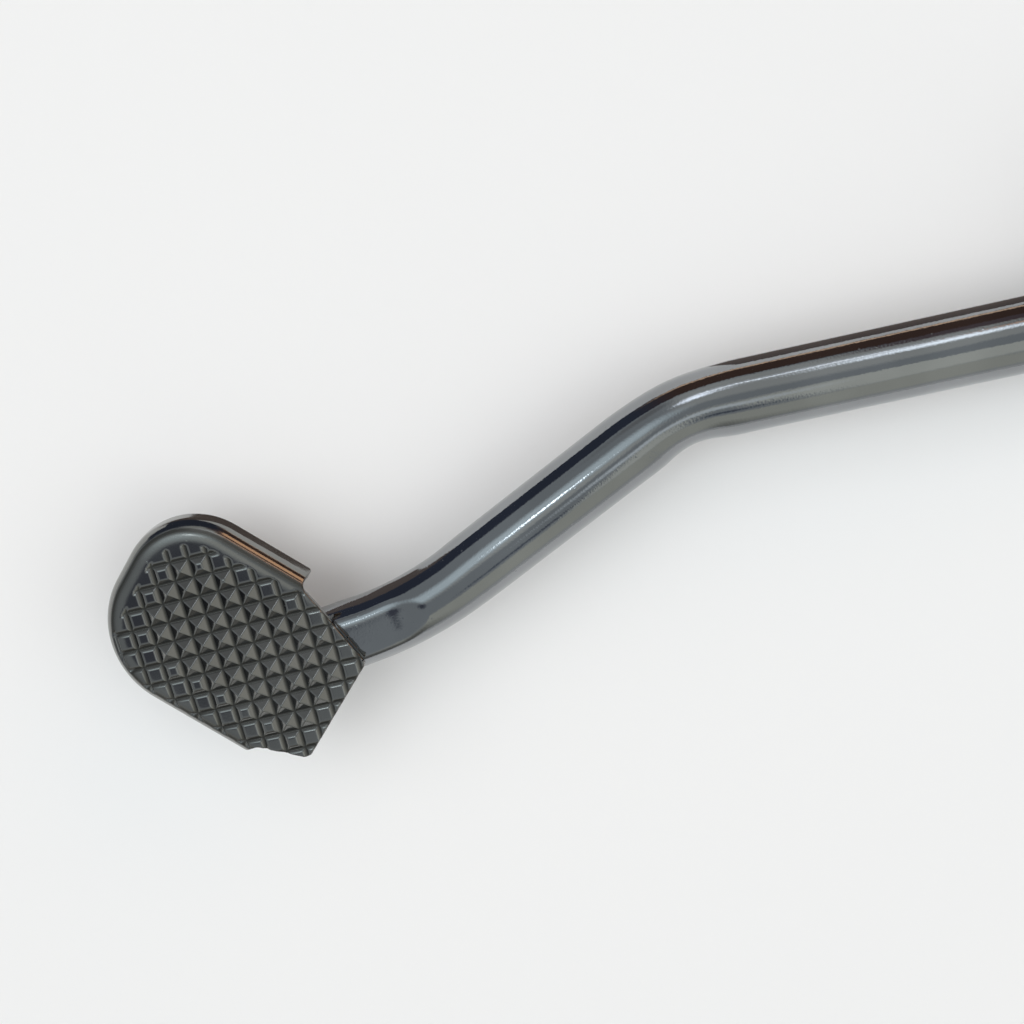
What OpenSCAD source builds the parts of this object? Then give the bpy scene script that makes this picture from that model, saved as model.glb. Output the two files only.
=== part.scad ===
// Rear brake pedal: a bent steel tube with a pressed tread plate at one end
// and a pivot tube with the brake rod lever at the other, welded and chromed as one.
// The origin is the middle of the pivot bore. Y runs along the pivot axis,
// outwards from the machine, X points to the rear and Z points up.

/* [Arm tube] */
// Outside diameter of the arm tube
tube_d = 19; // [16:0.5:24]
// Wall of the arm tube
tube_wall = 2.3; // [1.6:0.1:3.5]
// How much thinner the tube comes out of the bender in a bend
bend_thinning = 0.1; // [0.05:0.05:0.3]
// Straight from the pivot axis to the rear bend
pivot_run = 26; // [22:1:60]
// Turn of the rear bend in degrees
rear_turn = 32; // [10:1:50]
// Centreline radius of the rear bend
rear_bend_r = 45; // [30:1:90]
// Straight between the rear bend and the middle bend
rear_run = 90; // [40:1:140]
// Turn of the middle bend in degrees
middle_turn = 26; // [8:1:50]
// Centreline radius of the middle bend
middle_bend_r = 45; // [30:1:90]
// Straight between the middle bend and the front bend
middle_run = 61; // [30:1:110]
// Turn of the front bend in degrees
front_turn = 18; // [6:1:40]
// Centreline radius of the front bend
front_bend_r = 100; // [60:1:140]
// Straight from the front bend to the open end under the tread plate
front_run = 42.5; // [36:0.5:60]

/* [Pressed seat] */
// How deep the top of the tube is pressed flat
seat_press = 1.5; // [0.8:0.1:2.5]
// Length of the flat at full depth from the open end
seat_len = 52; // [44:1:70]
// Radius at which the press runs out of the tube
seat_runout_r = 25; // [10:1:60]

/* [Tread plate] */
// Length of the tread plate from the outer end to the tail
plate_len = 68.4; // [60:0.1:84]
// Width of the tread plate over its rolled edges
plate_w = 52.4; // [46:0.2:64]
// Thickness of the sheet
sheet = 2.5; // [1.6:0.1:3.2]
// Outside radius at which the edge rolls down
roll_r = 4; // [3.4:0.1:6]
// Depth of the rolled edge below the top of the margin
flange_depth = 7.5; // [6.5:0.1:12]
// How far the flange leans out at its lower edge
flange_lean = 0.5; // [0:0.1:1.2]
// Radius of the outer corner on the rear side
rear_corner_r = 20; // [16:0.5:24]
// Radius of the outer corner on the front side
front_corner_r = 24; // [16:0.5:27]
// Length of the rear flange from the outer end
rear_flange_len = 43.5; // [34:0.5:52]
// Length of the front flange from the outer end
front_flange_len = 53.8; // [38:0.5:56]
// Radius of the notch where a flange ends
notch_r = 3; // [1.5:0.1:4]
// Slant of the front flange's end in degrees
front_end_slant = 30; // [0:5:45]
// Width of the tail at its end
tail_w = 31.5; // [24:0.5:36]
// How far the tail lies towards the front side
tail_shift = 1.5; // [0:0.5:3]
// Taper of the tail on each side in degrees
tail_taper = 20; // [10:1:26]
// Radius of the tail corners
tail_corner_r = 1.6; // [0.5:0.1:4]

/* [Tread pattern] */
// Distance between rows of pyramids
tread_pitch = 5.2; // [4:0.1:8]
// Height of the pyramids from the groove bottoms
tread_height = 1.8; // [1:0.1:2.4]
// Height of the smooth margin above the groove bottoms
margin_rise = 0.6; // [0.3:0.1:0.9]
// Width of the smooth margin on the rear side and round the outer end
margin_w = 6.2; // [4.5:0.1:8]
// How much the rear margin narrows towards the tail, in degrees
margin_taper = 5.5; // [0:0.5:8]
// Width of the margin on the front side, where the pattern runs on to the roll
front_margin_w = 2; // [1:0.1:4]
// Width over which the pyramids are pressed down beside the margin
crown_w = 8; // [4:0.5:12]
// Distance of the first row of points from the tail
tread_start = 31.8; // [28:0.1:36]
// How far the rows lie towards the front side
tread_side = 0.4; // [0:0.1:1]

/* [Plate on tube] */
// Turn of the tread plate from square across the machine in degrees
plate_turn = 14.5; // [0:0.5:25]
// Middle of the plate, measured back along the tube from its open end
plate_back = 10.1; // [6:0.1:14]
// Middle of the plate, measured out to the side of the tube
plate_side = 11.4; // [8:0.1:13]

/* [Pivot] */
// Outside diameter of the pivot tube
pivot_d = 25; // [22.5:0.5:34]
// Bore for the pivot shaft
bore_d = 17; // [12:0.1:18]
// Length of the pivot tube
pivot_len = 46; // [42:1:70]
// How far the arm is joined outwards from the middle of the pivot tube
arm_offset = 6; // [4:0.5:8]
// Chamfer on the edges of the pivot tube
pivot_chamfer = 0.8; // [0.3:0.1:1.5]

/* [Brake rod lever] */
// Distance from the pivot axis to the brake rod pin
lever_len = 50; // [42:1:80]
// Thickness of the lever
lever_t = 6; // [4:0.5:8]
// Width of metal round the pivot tube
lever_ring = 6; // [4:0.5:9]
// Radius of the lever's upper end
lever_tip_r = 9; // [7.5:0.5:12]
// Hole for the brake rod pin
rod_hole_d = 8.2; // [6:0.1:9]
// Lean of the lever to the rear in degrees
lever_lean = 8; // [0:1:25]
// Distance from the inner end of the pivot tube to the lever
lever_set = 3.5; // [3:0.5:5]
// Gap between the lever's hole and the pivot tube, on the diameter
slip_gap = 0.1; // [0.05:0.05:0.3]

/* [Stop lug] */
// Distance from the pivot axis to the lug's spring hole
lug_len = 21; // [19.5:0.5:30]
// Thickness of the lug
lug_t = 5; // [4:0.5:8]
// Radius of the lug's lower end
lug_tip_r = 6.5; // [5:0.5:8]
// Hole for the end of the return spring
spring_hole_d = 4.5; // [3:0.1:6]
// Half width of the lug at the pivot tube
lug_root_r = 9; // [7:0.5:10]
// Angle of the lug below the rearward direction in degrees
lug_drop = 45; // [30:1:55]

/* [Welds] */
// Leg of the beads round the pivot tube
bead = 2.6; // [1.5:0.1:2.8]
// Width of the beads under the tread plate
seat_bead = 3.2; // [2:0.1:4]
// How far the beads under the plate stop short of the tube's end and of the plate's edge
bead_gap = 3; // [2:0.5:8]

/* [Hidden] */
$fn = 96;
chrome = [0.3, 0.31, 0.32];
tread_chrome = [0.25, 0.25, 0.24];
weld_chrome = [0.28, 0.29, 0.3];
// Overshoot of a cutter past the face that it cuts
past = 1;
// Flats round each end of a link's outline
arc_steps = 32;
// Lap of a straight into its bend
lap = 0.5;
// The arm's straights, turns and bend radii, from the pivot outwards
runs = [pivot_run, rear_run, middle_run, front_run];
turns = [-rear_turn, middle_turn, -front_turn];
radii = [rear_bend_r, middle_bend_r, front_bend_r];
bends = len(turns);
tube_r = tube_d / 2;
pivot_r = pivot_d / 2;
// Heights over the tube's axis, from the seat up to the points of the tread
seat_z = tube_r - seat_press;
margin_z = seat_z + sheet;
groove_z = margin_z - margin_rise;
point_z = groove_z + tread_height;
flange_z = margin_z - flange_depth;
half_w = plate_w / 2;
half_len = plate_len / 2;
// Middle of each rounded outer corner, in the plate's own axes
rear_corner = [half_w - rear_corner_r, half_len - rear_corner_r];
front_corner = [front_corner_r - half_w, half_len - front_corner_r];
// Half width of the flat on the tube
seat_half = sqrt(tube_r * tube_r - seat_z * seat_z);
// Inner faces of the lever and of the lug, which is in line with the arm
lever_y = lever_set - pivot_len / 2;
lug_y = arm_offset - lug_t / 2;
// The lug's beads run over the angle where its root meets the pivot tube, less a trim at each end
bead_trim = 10;
lug_weld_turn = 2 * (asin(lug_root_r / pivot_r) - bead_trim);
lug_weld_from = -lug_drop - lug_weld_turn / 2;

function unit(a) = [cos(a), sin(a)];
function left(a) = [-sin(a), cos(a)];
function side(t) = t < 0 ? -1 : 1;
// Direction of straight i and the point where it starts
function heading(i) = i == 0 ? 180 : heading(i - 1) + turns[i - 1];
function centre(i) = run_end(i) + side(turns[i]) * radii[i] * left(heading(i));
function run_start(i) = i == 0 ? [0, arm_offset]
    : centre(i - 1) - side(turns[i - 1]) * radii[i - 1] * left(heading(i));
function run_end(i) = run_start(i) + runs[i] * unit(heading(i));

arm_dir = heading(bends);
arm_end = run_end(bends);
plate_mid = arm_end - plate_back * unit(arm_dir) - plate_side * left(arm_dir);

// Round bar that follows the arm's centreline and runs past the open end by over.
// Each straight laps a little into its bends, where the bar is thinner.
module arm_bar(d, over) {
    for (i = [0 : bends]) {
        lap_in = i > 0 ? lap : 0;
        lap_out = i < bends ? lap : over;
        translate(run_start(i) - lap_in * unit(heading(i)))
            rotate([0, 90, heading(i)]) cylinder(d = d, h = runs[i] + lap_in + lap_out);
    }
    for (i = [0 : bends - 1])
        translate(centre(i))
            rotate(turns[i] < 0 ? heading(i + 1) + 90 : heading(i) - 90)
                rotate_extrude(angle = abs(turns[i]))
                    translate([radii[i], 0]) circle(d = d - bend_thinning);
}

// Places its children at the open end of the arm, with X running back along the tube
module at_arm_end() {
    translate(arm_end) rotate(arm_dir + 180) children();
}

// The space over the pressed seat, lowered by drop
module press(drop) {
    at_arm_end()
        rotate([90, 0, 0])
            linear_extrude(2 * tube_d, center = true)
                translate([0, seat_z - drop]) {
                    translate([-2 * past, 0]) square([seat_len + 2 * past, 2 * seat_runout_r]);
                    translate([seat_len, seat_runout_r]) circle(seat_runout_r);
                }
}

// Round bar along the pivot axis
module pivot_bar(d, h) {
    rotate([90, 0, 0]) cylinder(d = d, h = h, center = true);
}

module pedal_arm() {
    color(chrome) difference() {
        arm_bar(tube_d, 0);
        press(0);
        pivot_bar(pivot_d, pivot_len);
        difference() {
            arm_bar(tube_d - 2 * tube_wall, past);
            press(tube_wall);
        }
    }
}

// Half section of the plate's outside: crowned top, smooth margin, roll and leaning flange.
// r is the distance to the outer face. With inside = sheet it is the hollow beneath.
module edge_section(r, inside) {
    top = margin_z - inside;
    roll = roll_r - inside;
    low = flange_z - (inside > 0 ? past : 0);
    lean = flange_lean * (margin_z - roll_r - low) / (margin_z - roll_r - flange_z);
    rim = r - inside;
    flat_r = r - max(margin_w, roll_r);
    crown = inside > 0 ? 0 : point_z - margin_z;
    polygon([[0, low], [rim + lean, low], [rim, top - roll], [rim - roll, top - roll], [rim - roll, top],
        [flat_r, top], [flat_r - crown_w, top + crown], [0, top + crown]]);
    translate([rim - roll, top - roll]) intersection() {
        circle(roll);
        square(roll);
    }
}

// The plate's outside, or with inside = sheet the hollow beneath it
module pan(inside) {
    extra = inside > 0 ? past : 0;
    tail = half_len + extra;
    core_w = rear_corner[0] - front_corner[0];
    core_top = inside > 0 ? margin_z - inside : point_z;
    translate(rear_corner) rotate_extrude(angle = 90) edge_section(rear_corner_r, inside);
    translate(front_corner) rotate(90) rotate_extrude(angle = 90) edge_section(front_corner_r, inside);
    translate(rear_corner) rotate([90, 0, 0])
        linear_extrude(rear_corner[1] + tail) edge_section(rear_corner_r, inside);
    translate([front_corner[0], -tail]) rotate([90, 0, 180])
        linear_extrude(front_corner[1] + tail) edge_section(front_corner_r, inside);
    translate(front_corner) rotate([90, 0, 90])
        linear_extrude(core_w) edge_section(front_corner_r, inside);
    translate([front_corner[0], -tail, flange_z - extra])
        cube([core_w, tail + front_corner[1], core_top - flange_z + extra]);
}

// What is cut away beside the tail, on the side that X points to, past a flange end with this slant
module tail_cut(flange_len, half_tail, slant) {
    flange_end = half_len - flange_len;
    taper = tan(tail_taper);
    mid_y = flange_end - notch_r;
    mid = [half_tail + taper * (mid_y + half_len) + notch_r / cos(tail_taper), mid_y];
    end_at = mid + notch_r * left(slant);
    translate(mid) circle(notch_r);
    polygon([mid, end_at, end_at + plate_w * unit(slant), [2 * plate_w, -half_len - past],
        [half_tail - taper * past, -half_len - past],
        mid - notch_r * [cos(tail_taper), -sin(tail_taper)]]);
    corner = [half_tail, -half_len];
    half_angle = (90 + tail_taper) / 2;
    reach = tail_corner_r / tan(half_angle);
    arc_mid = corner + [-reach, tail_corner_r];
    difference() {
        polygon([corner + [past, 0], corner + [past, -past], corner + [-reach, -past], corner - [reach, 0],
            arc_mid, corner + reach * [sin(tail_taper), cos(tail_taper)]]);
        translate(arc_mid) circle(tail_corner_r);
    }
}

// Everything cut away from the plate at the tail
module tail_cuts() {
    tail_cut(rear_flange_len, tail_w / 2 - tail_shift, 0);
    mirror([1, 0]) tail_cut(front_flange_len, tail_w / 2 + tail_shift, front_end_slant);
}

// Area of the pattern, inside the margins
module pattern_area() {
    far = plate_len;
    intersection() {
        union() {
            translate(front_corner) circle(front_corner_r - front_margin_w);
            translate([front_margin_w - half_w, -far]) square([half_w, far + front_corner[1]]);
            translate([front_corner[0], -far]) square(2 * far);
        }
        union() {
            translate(rear_corner) circle(rear_corner_r - margin_w);
            translate([-far, -far]) square([far + rear_corner[0], far + half_len - margin_w]);
            translate(rear_corner) rotate(margin_taper) translate([-far, -far])
                square([far + rear_corner_r - margin_w, far]);
        }
    }
}

// One family of straight V grooves, on both sides of a row of points
module grooves() {
    count = ceil(norm([half_w, half_len]) / tread_pitch);
    rise = tread_height + past;
    half = tread_pitch / 2 * rise / tread_height;
    for (k = [-count : count])
        translate([(k + 0.5) * tread_pitch, 0, groove_z]) rotate([90, 0, 0])
            linear_extrude(2 * plate_len, center = true)
                polygon([[0, 0], [half, rise], [-half, rise]]);
}

module tread_plate() {
    color(tread_chrome) translate(plate_mid) rotate(plate_turn) difference() {
        pan(0);
        pan(sheet);
        linear_extrude(point_z + past) tail_cuts();
        intersection() {
            translate([-tread_side, tread_start - half_len, 0]) {
                rotate(45) grooves();
                rotate(-45) grooves();
            }
            linear_extrude(point_z + 2 * past) pattern_area();
        }
    }
}

module pivot_tube() {
    land = pivot_len / 2 - pivot_chamfer;
    color(chrome) rotate([90, 0, 0]) difference() {
        union() {
            cylinder(d = pivot_d, h = 2 * land, center = true);
            for (m = [0, 1]) mirror([0, 0, m]) translate([0, 0, land])
                cylinder(r1 = pivot_r, r2 = pivot_r - pivot_chamfer, h = pivot_chamfer);
        }
        cylinder(d = bore_d, h = pivot_len + 2 * past, center = true);
    }
}

// Points on an arc about mid from angle a to angle b
function arc(mid, r, a, b) = [for (i = [0 : arc_steps]) mid + r * unit(a + (b - a) * i / arc_steps)];

// Flat outline between a circle of radius big at the origin and one of radius small at reach
module link(big, small, reach) {
    a = acos((big - small) / reach);
    polygon(concat(arc([0, 0], big, a, 360 - a), arc([reach, 0], small, -a, a)));
}

// A flat piece square across the pivot axis, t thick from y outwards,
// whose outline's X points a degrees up from the rearward direction
module across(y, t, a) {
    translate([0, y + t, 0]) rotate([90, 0, 0]) linear_extrude(t) rotate(a) children();
}

module rod_lever() {
    color(chrome) across(lever_y, lever_t, 90 - lever_lean) difference() {
        link(pivot_r + lever_ring, lever_tip_r, lever_len);
        circle(d = pivot_d + slip_gap);
        translate([lever_len, 0]) circle(d = rod_hole_d);
    }
}

module stop_lug() {
    color(chrome) across(lug_y, lug_t, -lug_drop) difference() {
        link(lug_root_r, lug_tip_r, lug_len);
        circle(d = pivot_d);
        translate([lug_len, 0]) circle(d = spring_hole_d);
    }
}

// Bead along one side of the tube, in the corner under the plate. s is 1 on the rear side.
module seat_weld(s) {
    out = seat_half + seat_bead;
    low = seat_z - seat_bead;
    shoulder = seat_bead / 2;
    toe = shoulder / 2;
    color(weld_chrome) intersection() {
        at_arm_end() translate([bead_gap, 0, 0]) rotate([90, 0, 90]) linear_extrude(seat_len)
            scale([s, 1]) difference() {
                polygon([[seat_half, seat_z], [out, seat_z], [out, seat_z - toe],
                    [out - toe, seat_z - shoulder], [seat_half + shoulder, low], [seat_half, low]]);
                circle(d = tube_d);
            }
        translate(plate_mid + bead_gap * unit(arm_dir)) rotate(plate_turn)
            linear_extrude(margin_z) difference() {
                square([plate_w, plate_len], center = true);
                tail_cuts();
            }
    }
}

module rear_seat_weld() {
    seat_weld(1);
}

module front_seat_weld() {
    seat_weld(-1);
}

// Collar of weld in the corner between the arm and the pivot tube
module arm_weld() {
    out = tube_r + bead;
    color(weld_chrome) difference() {
        translate([0, arm_offset, 0]) rotate([0, -90, 0]) rotate_extrude()
            polygon([[tube_r, 0], [out, 0], [out, pivot_r - bead / 2], [tube_r, pivot_r + bead]]);
        pivot_bar(pivot_d, 2 * pivot_len);
    }
}

// Bead round the pivot tube against a face at y, on the side that s points to,
// over the angle turn from the direction a, up from the rearward direction
module round_weld(y, s, leg, a, turn) {
    color(weld_chrome) translate([0, y, 0]) rotate([90, 0, 0]) mirror([0, 0, s > 0 ? 1 : 0])
        rotate(a) rotate_extrude(angle = turn)
            polygon([[pivot_r, 0], [pivot_r + leg, 0], [pivot_r, leg]]);
}

module inner_lever_weld() {
    round_weld(lever_y, -1, min(bead, lever_set - pivot_chamfer), 0, 360);
}

module outer_lever_weld() {
    round_weld(lever_y + lever_t, 1, bead, 0, 360);
}

module inner_lug_weld() {
    round_weld(lug_y, -1, bead, lug_weld_from, lug_weld_turn);
}

module outer_lug_weld() {
    round_weld(lug_y + lug_t, 1, bead, lug_weld_from, lug_weld_turn);
}

tread_plate();
pedal_arm();
pivot_tube();
rod_lever();
stop_lug();
rear_seat_weld();
front_seat_weld();
arm_weld();
inner_lever_weld();
outer_lever_weld();
inner_lug_weld();
outer_lug_weld();
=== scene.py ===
# %% [markdown]
# # A motorcycle's rear brake pedal in chrome
#
# The real pedal is a bent steel tube with a pressed tread plate welded on one end and a short
# pivot tube on the other. The whole weldment is polished and chromed, so almost all that the
# eye sees of it is a reflection. Two things make it look right: surfaces without a facet or a
# ripple that isn't wanted, and a studio that gives the metal something to reflect.
#
# The solids of the pedal come in as a fixed frame. Here every piece gets a finer surface,
# computed with numpy in millimetres, which replaces its solid at the same place and size.

# %% Load the frame
import bmesh
import bpy
import numpy as np
from mathutils import Matrix, Vector


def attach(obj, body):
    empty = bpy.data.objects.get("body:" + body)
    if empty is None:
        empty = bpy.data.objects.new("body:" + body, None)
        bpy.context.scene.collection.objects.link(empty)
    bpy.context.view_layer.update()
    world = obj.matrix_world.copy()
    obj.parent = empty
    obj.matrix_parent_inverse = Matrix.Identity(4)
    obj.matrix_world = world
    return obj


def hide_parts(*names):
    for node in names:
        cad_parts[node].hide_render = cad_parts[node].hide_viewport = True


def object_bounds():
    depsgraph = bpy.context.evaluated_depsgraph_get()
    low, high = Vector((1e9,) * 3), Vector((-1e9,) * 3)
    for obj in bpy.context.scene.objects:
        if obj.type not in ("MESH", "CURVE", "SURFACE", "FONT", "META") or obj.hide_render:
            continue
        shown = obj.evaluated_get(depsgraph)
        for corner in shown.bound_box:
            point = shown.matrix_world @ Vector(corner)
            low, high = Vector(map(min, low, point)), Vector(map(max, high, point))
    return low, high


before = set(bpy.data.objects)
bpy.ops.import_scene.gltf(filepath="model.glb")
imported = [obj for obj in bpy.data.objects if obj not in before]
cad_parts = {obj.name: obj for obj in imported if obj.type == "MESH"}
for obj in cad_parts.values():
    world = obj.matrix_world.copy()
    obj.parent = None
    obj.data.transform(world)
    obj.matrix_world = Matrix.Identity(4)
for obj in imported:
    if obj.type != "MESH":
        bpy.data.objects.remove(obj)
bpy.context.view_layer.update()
MM = 0.001
print("solids:", sorted(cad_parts))

# %% [markdown]
# ## The driving sizes
#
# These are the few sizes that shape every piece, in millimetres. The origin is the middle of
# the pivot's bore, Y runs out along the pivot, X points to the rear and Z points up. The tread's
# margin lies one thickness of sheet over the seat, and margin_rise over its grooves.

# %% Sizes
tube_r = 9.5
tube_wall = 2.3
straights = [26.0, 90.0, 61.0, 42.5]
turns = np.radians([-32.0, 26.0, -18.0])
bend_radii = [45.0, 45.0, 100.0]
arm_offset = 6.0

seat_press = 1.5
seat_len = 52.0
seat_runout_r = 25.0

plate_len, plate_w = 68.4, 52.4
sheet = 2.5
plate_turn = np.radians(14.5)
plate_back, plate_side = 10.1, 11.4
margin_rise = 0.6

pivot_r, bore_r, pivot_len = 12.5, 8.5, 46.0

seat_z = tube_r - seat_press
margin_z = seat_z + sheet
groove_z = margin_z - margin_rise
print("the margin of the tread lies", margin_z, "mm over the middle of the tube")

# %% [markdown]
# ## The camera
#
# The photograph looks steeply down on the tread from about a third of a metre, turned so that
# the arm climbs to the right and leaves the frame before the pivot. The lens is a little
# longer than a normal one. Azimuth and elevation say where the camera stands as seen from the
# point that it looks at, and the roll turns it about its own axis.

# %% Camera
view_aim = np.array([-184.48, 76.66, 0.0])
view_distance = 328.15
view_azimuth, view_elevation, view_roll = np.radians([25.75, 77.54, 160.22])
focal_px, frame_px = 1250.0, 1024.0
film_width = 36.0


def camera_axes():
    """Right, up and back of the camera. Back points from the aim to the camera. Right and up
    start level, with up leaning to +Z, and both are turned about back by the roll."""
    level = np.cos(view_elevation)
    back = np.array([np.cos(view_azimuth) * level, np.sin(view_azimuth) * level,
                     np.sin(view_elevation)])
    up = np.array([0, 0, 1]) - back * back[2]
    up = up / np.linalg.norm(up)
    right = np.cross(up, back)
    return (np.cos(view_roll) * right - np.sin(view_roll) * up,
            np.cos(view_roll) * up + np.sin(view_roll) * right, back)


right, up, back = camera_axes()
camera_data = bpy.data.cameras.new("camera")
camera_data.sensor_width = film_width
camera_data.lens = film_width * focal_px / frame_px
camera = bpy.data.objects.new("camera", camera_data)
bpy.context.scene.collection.objects.link(camera)
pose = np.eye(4)
pose[:3, 0], pose[:3, 1], pose[:3, 2] = right, up, back
pose[:3, 3] = (view_aim + view_distance * back) * MM
camera.matrix_world = Matrix(pose)
bpy.context.scene.camera = camera
print("lens", round(camera_data.lens, 2), "mm, camera at", np.round(pose[:3, 3], 4))

# %% [markdown]
# ## Meshes from arrays
#
# Every surface below is an array of points. One helper turns a list of points and faces into
# an object, another closes a grid of points into a skin. A grid may wrap round in its columns,
# as a tube does, and in its rows, as a ring does.

# %% Mesh helpers
def make_object(name, points, faces, smooth=True):
    """An object from points in millimetres and arrays of faces. Each row of such an array is a
    face, given as the numbers of its points, so one array holds faces of one kind."""
    mesh = bpy.data.meshes.new(name)
    sides = np.concatenate([np.full(len(f), f.shape[1]) for f in faces])
    corners = np.concatenate([f.ravel() for f in faces]).astype(np.int32)
    starts = np.concatenate([[0], np.cumsum(sides)[:-1]])
    mesh.vertices.add(len(points))
    mesh.loops.add(len(corners))
    mesh.polygons.add(len(sides))
    mesh.vertices.foreach_set("co", (np.asarray(points) * MM).ravel())
    mesh.loops.foreach_set("vertex_index", corners)
    mesh.polygons.foreach_set("loop_start", starts.astype(np.int32))
    mesh.polygons.foreach_set("use_smooth", np.full(len(sides), smooth))
    mesh.update(calc_edges=True)
    mesh.validate()
    piece = bpy.data.objects.new(name, mesh)
    bpy.context.scene.collection.objects.link(piece)
    print(name, len(points), "points,", len(sides), "faces")
    return piece


def grid_faces(rows, cols, wrap_rows, wrap_cols):
    """Quads between neighbouring rows and columns of a grid of points numbered row by row. The
    last row or column joins the first where the grid wraps."""
    i = np.arange(rows if wrap_rows else rows - 1)[:, None]
    j = np.arange(cols if wrap_cols else cols - 1)[None, :]
    a = i * cols + j
    b = i * cols + (j + 1) % cols
    c = (i + 1) % rows * cols + (j + 1) % cols
    d = (i + 1) % rows * cols + j
    return np.stack([a, b, c, d], axis=-1).reshape(-1, 4)


def smooth_min(a, b, width):
    """The lower of a and b, with the corner between them rounded over about width."""
    near = np.clip(width - np.abs(a - b), 0, None) / width
    return np.minimum(a, b) - near * near * width / 4


def step(x, low, high):
    """Rises smoothly from 0 at low to 1 at high."""
    t = np.clip((x - low) / (high - low), 0, 1)
    return t * t * (3 - 2 * t)


def bump(x, width):
    """A bell of height 1 at x = 0 that falls off over width."""
    return np.exp(-(x / width) ** 2)


# %% [markdown]
# ## The line of the arm
#
# The tube was bent flat on a bench, so its middle line lies in one plane: four straights with
# three arcs between them. In the plane of complex numbers both are one formula. A stretch of
# constant curvature k that leaves point p in direction h has gone, after a length t, to
# p + h (exp(i k t) - 1) / (i k), and now runs in direction h exp(i k t).

# %% Centreline
def stretch(p, h, k, t):
    """Point and direction after the length t along a stretch of curvature k."""
    turned = np.exp(1j * k * t)
    moved = t if k == 0 else (turned - 1) / (1j * k)
    return p + h * moved, h * turned


def stretches():
    """Start length, start point, direction and curvature of each straight and each bend, and
    at the end the whole length, the open end and its direction."""
    p, h, s, rows = 1j * arm_offset, -1.0 + 0j, 0.0, []
    for i, straight in enumerate(straights):
        rows.append((s, p, h, 0.0))
        p, h = stretch(p, h, 0.0, straight)
        s += straight
        if i < len(turns):
            k = np.sign(turns[i]) / bend_radii[i]
            rows.append((s, p, h, k))
            p, h = stretch(p, h, k, turns[i] / k)
            s += turns[i] / k
    rows.append((s, p, h, 0.0))
    return rows


line = stretches()
arm_len, arm_end, arm_dir = line[-1][:3]


def centreline(s):
    """Points and directions of the arm's middle line at the lengths s from the pivot."""
    points = np.zeros(len(s), complex)
    directions = np.ones(len(s), complex)
    for (start, p, h, k), (end, *_) in zip(line[:-1], line[1:]):
        here = (s >= start) & (s <= end)
        points[here], directions[here] = stretch(p, h, k, s[here] - start)
    return points, directions


print("the arm is", round(arm_len, 1), "mm long and ends at", np.round(arm_end, 2))

# %% [markdown]
# ## Node maths
#
# Materials are sums: a base, plus grain, plus specks. This small class wraps an output socket
# so that such a sum can be written as one, and each sign adds its Math node. One method adds
# any other node: its settings are set first, then its sockets are filled or linked.

# %% Wires
class Wire:
    """An output socket of a node tree on which arithmetic adds Math nodes."""

    def __init__(self, tree, output):
        self.tree, self.output = tree, output

    def add(self, kind, settings=None, sockets=None, output=0):
        """Adds a node of this kind, sets its settings, fills its sockets by name or number with
        values or wires, and gives back its output as a wire."""
        node = self.tree.nodes.new(kind)
        for name, value in (settings or {}).items():
            setattr(node, name, value)
        for name, value in (sockets or {}).items():
            if isinstance(value, Wire):
                self.tree.links.new(value.output, node.inputs[name])
            else:
                node.inputs[name].default_value = value
        return Wire(self.tree, node.outputs[output]) if len(node.outputs) else None

    def maths(self, operation, *values):
        """A Math node on these values."""
        return self.add("ShaderNodeMath", {"operation": operation}, dict(enumerate(values)))

    def __add__(self, other):
        return self.maths("ADD", self, other)

    def __mul__(self, other):
        return self.maths("MULTIPLY", self, other)

    def __radd__(self, other):
        return self.maths("ADD", other, self)

    def __rsub__(self, other):
        return self.maths("SUBTRACT", other, self)

    def __rmul__(self, other):
        return self.maths("MULTIPLY", other, self)

    def between(self, low, high):
        """0 below low and 1 above high, with a smooth step. High may be the lower one."""
        return self.add("ShaderNodeMapRange", {"interpolation_type": "SMOOTHSTEP"},
                        {"Value": self, "From Min": low, "From Max": high})

    def mix(self, low, high):
        """The colour low where this wire is 0 and high where it is 1."""
        return self.add("ShaderNodeMix", {"data_type": "RGBA"}, {0: self, 6: low, 7: high}, 2)


def colour(r, g, b):
    """An opaque colour for a socket."""
    return (r, g, b, 1.0)


def start_tree(owner):
    """Empties the node tree of a material or of the world and gives back a wire to build on."""
    owner.use_nodes = True
    owner.node_tree.nodes.clear()
    return Wire(owner.node_tree, None)


# %% [markdown]
# ## Chrome
#
# Plated chrome copies what is under it. The tube was linished before plating, so a fine grain
# breaks up its highlights into sparkles, longer waves bend the reflections a little, and dust
# in the bath leaves pimples. All three are heights that go through one Bump node. The grey is
# darker than a fresh mirror, because this plate is thin and a little dull, and it is duller in
# some clouds than in others. On the tread, the colour is darker and the metal duller at the
# bottom of the grooves, which are told by their height alone.

# %% Chrome materials
grain_mm, wave_mm, cloud_mm, pimple_gap_mm = 0.55, 11.0, 24.0, 4.5
# A pimple's edge and top, as shares of the gap, and how much it dulls the metal.
pimple_edge, pimple_top, pimple_dulls = 0.085, 0.03, 0.15
# The noise levels between which a cloud grows, its greys and its roughness.
cloud_from, cloud_to = 0.35, 0.7
clear_share, dull_share = 0.93, 1.05
clear_rough, cloud_rough = 0.75, 0.5
# Darker colour at the groove bottoms, with its heights over the bottom of a groove in millimetres.
groove_dark_colour, groove_dark_cover, groove_dark_dulls = colour(0.05, 0.047, 0.04), 0.8, 0.25
groove_dark_ends, groove_dark_full = 0.55, 0.05
under_ends, under_full = -0.3, -0.1


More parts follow.
